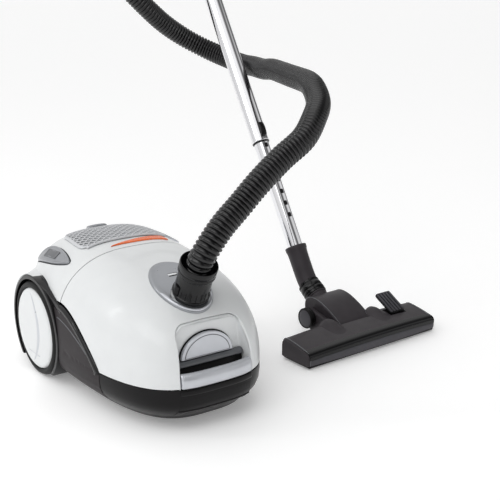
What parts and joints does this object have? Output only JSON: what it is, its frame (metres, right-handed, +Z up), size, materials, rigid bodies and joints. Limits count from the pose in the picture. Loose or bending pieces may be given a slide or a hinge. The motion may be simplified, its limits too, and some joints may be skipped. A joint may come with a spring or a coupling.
{
  "type": "canister vacuum cleaner",
  "caption": "Wheeled canister vacuum cleaner with a ribbed suction hose, a telescopic chrome wand and a pivoting floor head.",
  "frame": {"origin": "middle of the footprint of canister, wand and floor head, on the floor", "axes": "+Z up; the canister faces -Y and its rear axle runs along X; the floor head stands on the +X side with its wand leaning back towards +Y"},
  "size_m": [0.6816, 1.0604, 0.939],
  "materials": {
    "white_gloss": "glossy moulded",
    "black_satin": "satin moulded",
    "silver_paint": "metallic silver",
    "grey_plastic": "smooth",
    "orange_gloss": "glossy",
    "clear_lens": "clear",
    "wheel_rubber": "smooth rubber",
    "chrome_tube": "polished",
    "steel_pin": "turned",
    "hose_plastic": "ribbed satin",
    "black_gloss": "glossy moulded",
    "charcoal": "fine moulded grain",
    "motor_metal": "pressed sheet",
    "copper_winding": "wound rotor, bulk density",
    "filter_fleece": "pleated fleece",
    "bag_paper": "fleece bag",
    "board_green": "printed board",
    "brush_fibre": "nylon bristle"
  },
  "bodies": {
    "root": {"base_pan": "black_satin", "front_bumper": "black_satin", "bulkhead": "grey_plastic", "side_panel_left": "black_satin", "side_panel_right": "black_satin", "rear_cover": "white_gloss", "accent_strip": "orange_gloss", "grip_bar": "silver_paint", "rear_axles": "steel_pin", "exhaust_filter": "filter_fleece", "motor_housing": "motor_metal", "motor_mounts": "wheel_rubber", "motor_filter": "filter_fleece", "dust_bag": "bag_paper", "bag_holder": "grey_plastic", "reel_spindle": "grey_plastic", "cord_bushing": "black_satin", "power_switch": "grey_plastic", "circuit_board": "board_green", "base_screws": "steel_pin", "handle": "charcoal", "outer_tube": "chrome_tube", "tube_bush": "black_gloss", "hose": "hose_plastic"},
    "hood": {"hood": "white_gloss", "inlet_surround": "silver_paint", "bag_window": "clear_lens", "hose_connector": "black_gloss"},
    "latch": {"hood_latch": "silver_paint"},
    "wheel_left": {"wheel_left": "white_gloss", "tyre_left": "wheel_rubber"},
    "wheel_right": {"wheel_right": "white_gloss", "tyre_right": "wheel_rubber"},
    "caster_fork": {"caster_fork": "black_satin", "caster_axle": "steel_pin"},
    "caster_wheel": {"caster_wheel": "black_satin"},
    "filter_cover": {"exhaust_grille": "silver_paint"},
    "filter_catch": {"grille_latch": "silver_paint"},
    "power_pedal": {"power_pedal": "silver_paint"},
    "rewind_pedal": {"rewind_pedal": "silver_paint"},
    "rotor": {"motor_rotor": "copper_winding"},
    "reel": {"cord_reel": "grey_plastic"},
    "hose_swivel": {"swivel_collar": "black_gloss"},
    "release_button_left": {"release_button_left": "black_gloss"},
    "release_button_right": {"release_button_right": "black_gloss"},
    "hose_cuff": {"hose_cuff": "black_gloss"},
    "suction_slider": {"suction_slider": "grey_plastic"},
    "telescope_button": {"telescope_button": "black_gloss"},
    "lower_wand": {"inner_tube": "chrome_tube", "neck_sleeve": "charcoal"},
    "neck": {"swivel_ring": "black_gloss", "pivot_housing": "charcoal"},
    "floor_head": {"head_shell": "charcoal", "sole_plate": "grey_plastic", "pivot_caps": "charcoal", "roller_axles": "steel_pin"},
    "brush": {"brush_strips": "brush_fibre"},
    "head_pedal": {"head_pedal": "charcoal"},
    "head_rollers": {"head_rollers": "charcoal"}
  },
  "joints": [
    {"name": "hood_hinge", "type": "hinge", "parent": "root", "child": "hood", "pos_m": [-0.1998, -0.2576, 0.222], "axis": [-1, 0, 0], "range_deg": [0, 65], "deforming": ["hose"]},
    {"name": "latch_lift", "type": "slide", "parent": "hood", "child": "latch", "axis": [0, 0, 1], "range_m": [0, 0.005], "stiffness_N_per_m": 400},
    {"name": "left_wheel_roll", "type": "hinge", "parent": "root", "child": "wheel_left", "pos_m": [-0.3278, -0.1566, 0.079], "axis": [1, 0, 0], "continuous": true},
    {"name": "right_wheel_roll", "type": "hinge", "parent": "root", "child": "wheel_right", "pos_m": [-0.0718, -0.1566, 0.079], "axis": [1, 0, 0], "continuous": true},
    {"name": "caster_swivel", "type": "hinge", "parent": "root", "child": "caster_fork", "pos_m": [-0.1998, -0.4066, 0.04], "axis": [0, 0, 1], "continuous": true},
    {"name": "caster_roll", "type": "hinge", "parent": "caster_fork", "child": "caster_wheel", "pos_m": [-0.1998, -0.4006, 0.017], "axis": [1, 0, 0], "continuous": true},
    {"name": "filter_cover_hinge", "type": "hinge", "parent": "root", "child": "filter_cover", "pos_m": [-0.1998, -0.2211, 0.228], "axis": [1, 0, 0], "range_deg": [0, 60]},
    {"name": "filter_catch_press", "type": "slide", "parent": "filter_cover", "child": "filter_catch", "axis": [0, -1, 0], "range_m": [0, 0.0016], "stiffness_N_per_m": 400},
    {"name": "power_press", "type": "slide", "parent": "root", "child": "power_pedal", "axis": [0.6157, 0, -0.788], "range_m": [0, 0.0025], "stiffness_N_per_m": 400},
    {"name": "rewind_press", "type": "slide", "parent": "root", "child": "rewind_pedal", "axis": [-0.6157, 0, -0.788], "range_m": [0, 0.0025], "stiffness_N_per_m": 400},
    {"name": "motor_spin", "type": "hinge", "parent": "root", "child": "rotor", "pos_m": [-0.2438, -0.1966, 0.088], "axis": [0, 1, 0], "continuous": true},
    {"name": "reel_spin", "type": "hinge", "parent": "root", "child": "reel", "pos_m": [-0.1418, -0.1446, 0.092], "axis": [1, 0, 0], "continuous": true},
    {"name": "collar_swivel", "type": "hinge", "parent": "hood", "child": "hose_swivel", "pos_m": [-0.2023, -0.4226, 0.184], "axis": [0, -0.4462, 0.8949], "continuous": true},
    {"name": "left_release_press", "type": "slide", "parent": "hood", "child": "release_button_left", "axis": [1, 0, 0], "range_m": [0, 0.0015], "stiffness_N_per_m": 400},
    {"name": "right_release_press", "type": "slide", "parent": "hood", "child": "release_button_right", "axis": [-1, 0, 0], "range_m": [0, 0.0015], "stiffness_N_per_m": 400},
    {"name": "cuff_swivel", "type": "hinge", "parent": "root", "child": "hose_cuff", "pos_m": [0.14256, 0.44519, 0.90348], "axis": [-0.037, 0.7061, -0.7071], "continuous": true},
    {"name": "suction_slide", "type": "slide", "parent": "root", "child": "suction_slider", "axis": [-0.0515, 0.9835, 0.1736], "range_m": [0, 0.014]},
    {"name": "telescope_release", "type": "slide", "parent": "root", "child": "telescope_button", "axis": [-0.0262, 0.4993, 0.866], "range_m": [0, 0.005], "stiffness_N_per_m": 400},
    {"name": "telescope_slide", "type": "slide", "parent": "root", "child": "lower_wand", "axis": [0.0262, -0.4993, -0.866], "range_m": [-0.18, 0]},
    {"name": "neck_swivel", "type": "hinge", "parent": "lower_wand", "child": "neck", "pos_m": [0.18049, -0.27846, 0.036], "axis": [-0.0429, 0.818, 0.5736], "range_deg": [-60, 60]},
    {"name": "head_tilt", "type": "hinge", "parent": "neck", "child": "floor_head", "pos_m": [0.18049, -0.27846, 0.036], "axis": [0.9986, 0.0523, 0], "range_deg": [-12, 45]},
    {"name": "pedal_rock", "type": "hinge", "parent": "floor_head", "child": "head_pedal", "pos_m": [0.27823, -0.34744, 0.03], "axis": [0.9986, 0.0523, 0], "range_deg": [0, 12]},
    {"name": "brush_lift", "type": "slide", "parent": "floor_head", "child": "brush", "axis": [0, 0, 1], "range_m": [0, 0.0051]},
    {"name": "roller_spin", "type": "hinge", "parent": "floor_head", "child": "head_rollers", "pos_m": [0.18111, -0.29045, 0.012], "axis": [0.9986, 0.0523, 0], "continuous": true}
  ],
  "couplings": [
    {"joint": "brush_lift", "follows": "pedal_rock", "m_per_rad": 0.0239}
  ]
}
